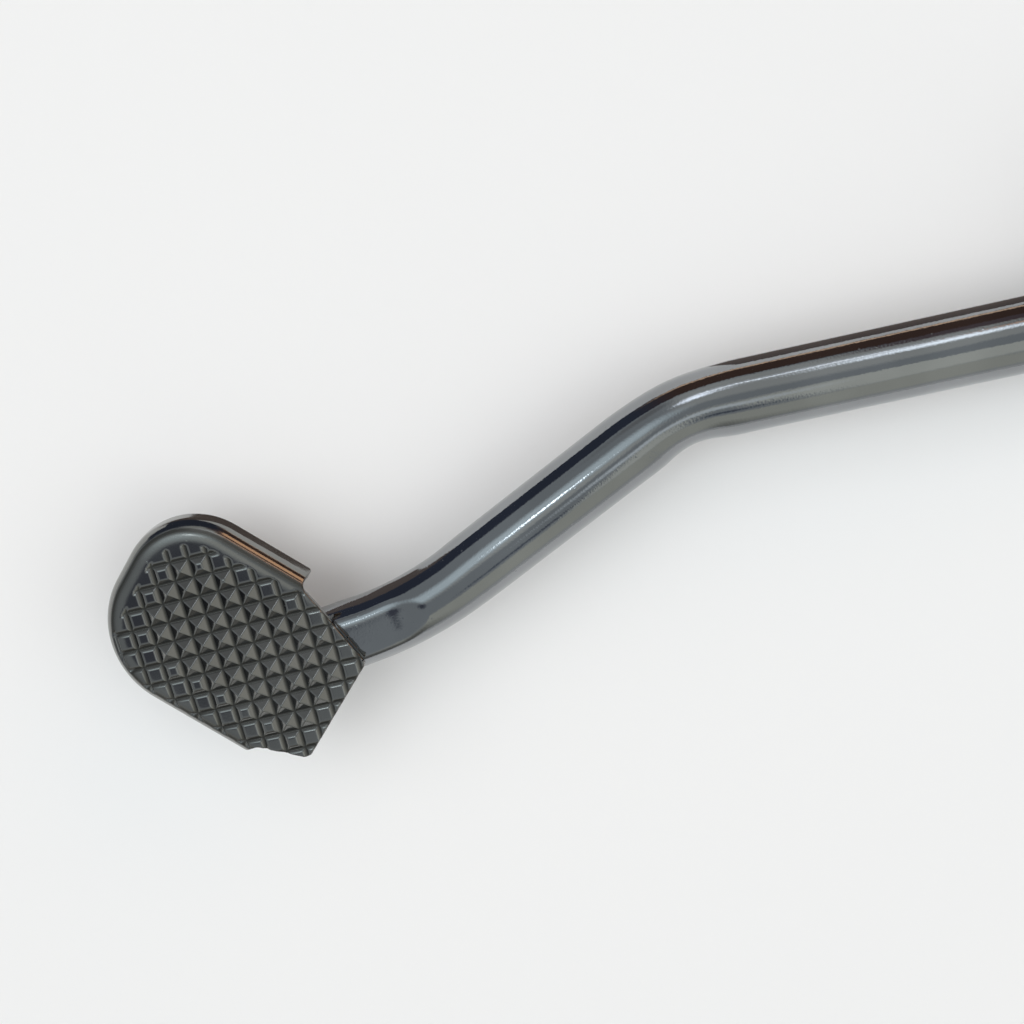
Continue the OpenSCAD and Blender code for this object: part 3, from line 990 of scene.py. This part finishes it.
# %% Weld beads
bead_r, seat_bead_r = 1.9, 1.35
rear_seat_bead_to, front_seat_bead_to = 31.0, 25.0
lug_bead_short = np.radians(10.0)
lug_reach = np.arcsin(lug_root_r / pivot_r) - lug_bead_short
bead("arm_bead", "arm_weld", *arm_seam(260), bead_r, True)
for welded, y, thickness, start, turn, count, closed in (
        ("lever", lever_y, lever_t, 0, 2 * np.pi, 300, True),
        ("lug", lug_y, lug_t, lug_angle - lug_reach, 2 * lug_reach, 80, False)):
    for side, face, facing in (("inner", y, -1), ("outer", y + thickness, 1)):
        bead(f"{side}_{welded}_bead", f"{side}_{welded}_weld",
             *round_seam(face, facing, start, turn, count, closed), bead_r, closed)
for side, facing, end in (("rear", 1, rear_seat_bead_to), ("front", -1, front_seat_bead_to)):
    bead(f"{side}_seat_bead", f"{side}_seat_weld", *seat_seam(facing, end, 90), seat_bead_r, False)

# %% [markdown]
# ## The studio
#
# Chrome shows its surroundings, so the studio is part of the finish. The floor is plain and
# pale, and it lies just under the lowest point of the pedal.

# %% Floor
floor_reach = 4000.0
floor_colour = colour(0.86, 0.86, 0.86)
floor_material = bpy.data.materials.new("floor")
tree = start_tree(floor_material)
surface = tree.add("ShaderNodeBsdfDiffuse", None, {"Color": floor_colour})
tree.add("ShaderNodeOutputMaterial", None, {"Surface": surface})
floor_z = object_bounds()[0][2] / MM
corners = np.array([[x * floor_reach, y * floor_reach, floor_z]
                    for x, y in ((-1, -1), (1, -1), (1, 1), (-1, 1))])
floor = make_object("floor", corners, [np.array([[0, 1, 2, 3]])], smooth=False)
floor.data.materials.append(floor_material)

# %% [markdown]
# ## The room in the metal
#
# Two numbers name a direction in the room: degrees down from straight overhead, and degrees
# round from the rear towards the outside. The room is a dim grey dome, painted in layers. Large
# soft greys come first. On the outer side there is a dark band with warm strips, low over the
# floor, which draws the long dark streak on the arm. Overhead lie soft bright patches, and dark
# ones where the camera stands in the reflection of anything level. Small strong spots make the
# grain of the chrome sparkle. They lie partly over the band, so the order counts: each layer
# covers the ones before it. Just over the floor the dome is pale, as a backdrop is. A low view
# shows it past the floor's far edge, with the grey dome above it.

# %% Directions in the room
DEGREES = 180 / np.pi
world = bpy.data.worlds.new("room")
bpy.context.scene.world = world
tree = start_tree(world)
direction = tree.add("ShaderNodeTexCoord", output="Generated")
x, y, z = [tree.add("ShaderNodeSeparateXYZ", None, {0: direction}, axis) for axis in "XYZ"]
down = tree.maths("ARCCOSINE", z) * DEGREES
round_from_rear = tree.maths("ARCTAN2", y, x) * DEGREES


def window(value, low, high, soft):
    """1 between low and high, and 0 outside, with edges that reach soft to both sides."""
    return value.between(low - soft, low + soft) * (1 - value.between(high - soft, high + soft))


def round_window(low, high, soft):
    """A window on the degrees round."""
    return window(round_from_rear, low, high, soft)


def down_window(low, high, soft):
    """A window on the degrees down."""
    return window(down, low, high, soft)


def patch(down_deg, round_deg, radius, soft):
    """1 near a direction, and 0 where it is more than radius degrees away. The angle between
    two directions is the arc cosine of their dot product."""
    a, b = np.radians([down_deg, round_deg])
    middle = (np.sin(a) * np.cos(b), np.sin(a) * np.sin(b), np.cos(a))
    near = tree.add("ShaderNodeVectorMath", {"operation": "DOT_PRODUCT"},
                    {0: direction, 1: middle}, "Value")
    away = tree.maths("ARCCOSINE", tree.maths("MINIMUM", near, 1.0)) * DEGREES
    return 1 - away.between(radius - soft, radius + soft)


# %% Room
warm_side = round_window(-15, 36, 5)
streak_side = round_window(41, 66, 4)
grey_dome = colour(0.36, 0.39, 0.41)
large_greys = [
    (round_window(-109, -60, 4) * down_window(8, 43, 6), (0.76, 0.78, 0.72)),
    (round_window(-180, -60, 10) * down_window(53, 90, 6), (0.52, 0.54, 0.53)),
    (round_window(-130, -98, 2) * down_window(42, 78, 3), (0.60, 0.61, 0.55)),
    (round_window(8, 72, 7) * down_window(17, 67, 5), (0.55, 0.57, 0.56)),
    (patch(50, -44, 15, 7), (0.62, 0.62, 0.58)),
    (patch(80, -141, 22, 8), (0.17, 0.17, 0.16))]
low_band = [
    (round_window(45, 112, 10) * down_window(70, 83, 2), (0.05, 0.06, 0.09)),
    (warm_side * down_window(44, 84, 2), (0.09, 0.06, 0.055)),
    (warm_side * down_window(47, 52, 0.7), (1.3, 0.85, 0.62)),
    (warm_side * down_window(60, 78, 1.5), (1.6, 0.95, 0.58))]
overhead = [
    (patch(25, 173, 6.5, 3), (0.10, 0.11, 0.14)),
    (patch(33, -117, 3, 2), (0.12, 0.14, 0.18)),
    (patch(24, 110, 13, 7), (0.92, 1.06, 1.12)),
    (patch(10, 140, 6, 4), (0.66, 0.68, 0.66)),
    (patch(20, 112, 1.6, 1.6), (7.0, 7.7, 8.2))]
over_the_band = [
    (round_window(28, 47, 3) * down_window(60, 84, 3), (0.13, 0.10, 0.11)),
    (streak_side * down_window(43, 51, 3), (0.95, 1.0, 1.05)),
    (streak_side * down_window(46, 47.5, 0.7), (2.8, 3.0, 3.2)),
    (patch(41.5, 37, 4.5, 3.5), (2.4, 2.6, 2.8)),
    (patch(41, 63, 4.5, 3.5), (2.6, 2.8, 3.1)),
    (patch(15, -112, 4, 4), (0.95, 1.03, 1.08)),
    (patch(59, 82, 7, 4), (0.26, 0.27, 0.28))]
backdrop = [(down_window(84.5, 180, 1), (0.66, 0.67, 0.67))]

shade = grey_dome
layers = large_greys + low_band + overhead + over_the_band + backdrop
for where, paint in layers:
    shade = where.mix(shade, colour(*paint))
room = tree.add("ShaderNodeBackground", None, {"Color": shade, "Strength": 1.0})
tree.add("ShaderNodeOutputWorld", None, {"Surface": room})
print("the room has", len(layers), "layers and", len(world.node_tree.nodes), "nodes")

# %% [markdown]
# ## The lamps
#
# Two large soft lamps light the floor evenly from both sides. They are kept out of mirror
# reflections, because the metal already shows the room's own bright patches.

# %% Lamps
lamp_size, lamp_watts = 1800, 13.5
lamp_aim = Vector((-150, 60, 0))


def lamp(name, x, y, z):
    """A square soft lamp at a place in millimetres, turned to the middle of the pedal."""
    data = bpy.data.lights.new(name, "AREA")
    data.size, data.energy = lamp_size * MM, lamp_watts
    holder = bpy.data.objects.new(name, data)
    bpy.context.scene.collection.objects.link(holder)
    place = Vector((x, y, z))
    holder.location = place * MM
    holder.rotation_mode = "QUATERNION"
    holder.rotation_quaternion = (lamp_aim - place).to_track_quat("-Z", "Y")
    holder.visible_glossy = False
    print(name, "lamp of", lamp_watts, "W,", round((lamp_aim - place).length), "mm away")


lamp("key", -700, 800, 1500)
lamp("fill", 700, -700, 1500)

# %% [markdown]
# ## Dark boards
#
# The room stops at the horizon, where the floor begins, but the dark streak on the arm reaches
# below it. So a low dark board stands on the floor just outside the picture. A card lies at its
# foot, and two more beside the tread's roll and the arm's first run. Only the metal sees them:
# they throw no shadow, and the camera looks through them.

# %% Boards
board_dark, board_brown, card_brown = (0.05, 0.06, 0.09), (0.09, 0.055, 0.045), (0.17, 0.14, 0.13)
board_line = (1.2, 0.85, 0.6)
brown_from, brown_to = -130, -80
line_low, line_high, line_soft = 2, 11, 1.5
card_lift, foot_lift = 0.3, 1.1
# Below this height over the floor the boards turn brown. The card at the foot lies above it.
card_top, card_full = 1, 0.5

board_material = bpy.data.materials.new("board")
tree = start_tree(board_material)
place = tree.add("ShaderNodeTexCoord", output="Object")
height = tree.add("ShaderNodeSeparateXYZ", None, {0: place}, "Z")
to_rear = tree.add("ShaderNodeSeparateXYZ", None, {0: place}, "X")
rearward = to_rear.between(brown_from * MM, brown_to * MM)
shade = rearward.mix(colour(*board_dark), colour(*board_brown))
line_here = rearward * window(height, (floor_z + line_low) * MM, (floor_z + line_high) * MM,
                              line_soft * MM)
shade = line_here.mix(shade, colour(*board_line))
on_floor = height.between((floor_z + card_top) * MM, (floor_z + card_full) * MM)
shade = on_floor.mix(shade, colour(*card_brown))
surface = tree.add("ShaderNodeEmission", None, {"Color": shade, "Strength": 1.0})
tree.add("ShaderNodeOutputMaterial", None, {"Surface": surface})


def lying(lift, outline):
    """The corners of a card that lies this far over the floor."""
    return [[x, y, floor_z + lift] for x, y in outline]


standing = [[-345, 430, floor_z], [60, 43, floor_z], [60, 43, 25], [-190, 282, 75], [-345, 430, 115]]
by_tread = lying(card_lift, [(-226, 102), (-217, 106), (-216, 190), (-262, 195), (-240, 143)])
by_arm = lying(card_lift, [(-118, 74), (-42, 26), (-10, 51), (-48, 78), (-89, 101)])
at_foot = lying(foot_lift, [(-250, 182), (-115, 178), (-95, 191), (-190, 282), (-250, 339)])
boards = [standing, by_tread, by_arm, at_foot]
board_faces = np.arange(np.size(boards) // 3).reshape(len(boards), -1)
board = make_object("boards", np.concatenate(boards), [board_faces], smooth=False)
board.data.materials.append(board_material)
board.visible_camera = board.visible_shadow = board.visible_diffuse = False

# %% [markdown]
# ## The finished scene
#
# The colours leave the render as they are, without a film curve. The pedal has to stay inside
# it.

# %% Finish
bpy.context.scene.view_settings.view_transform = "Standard"
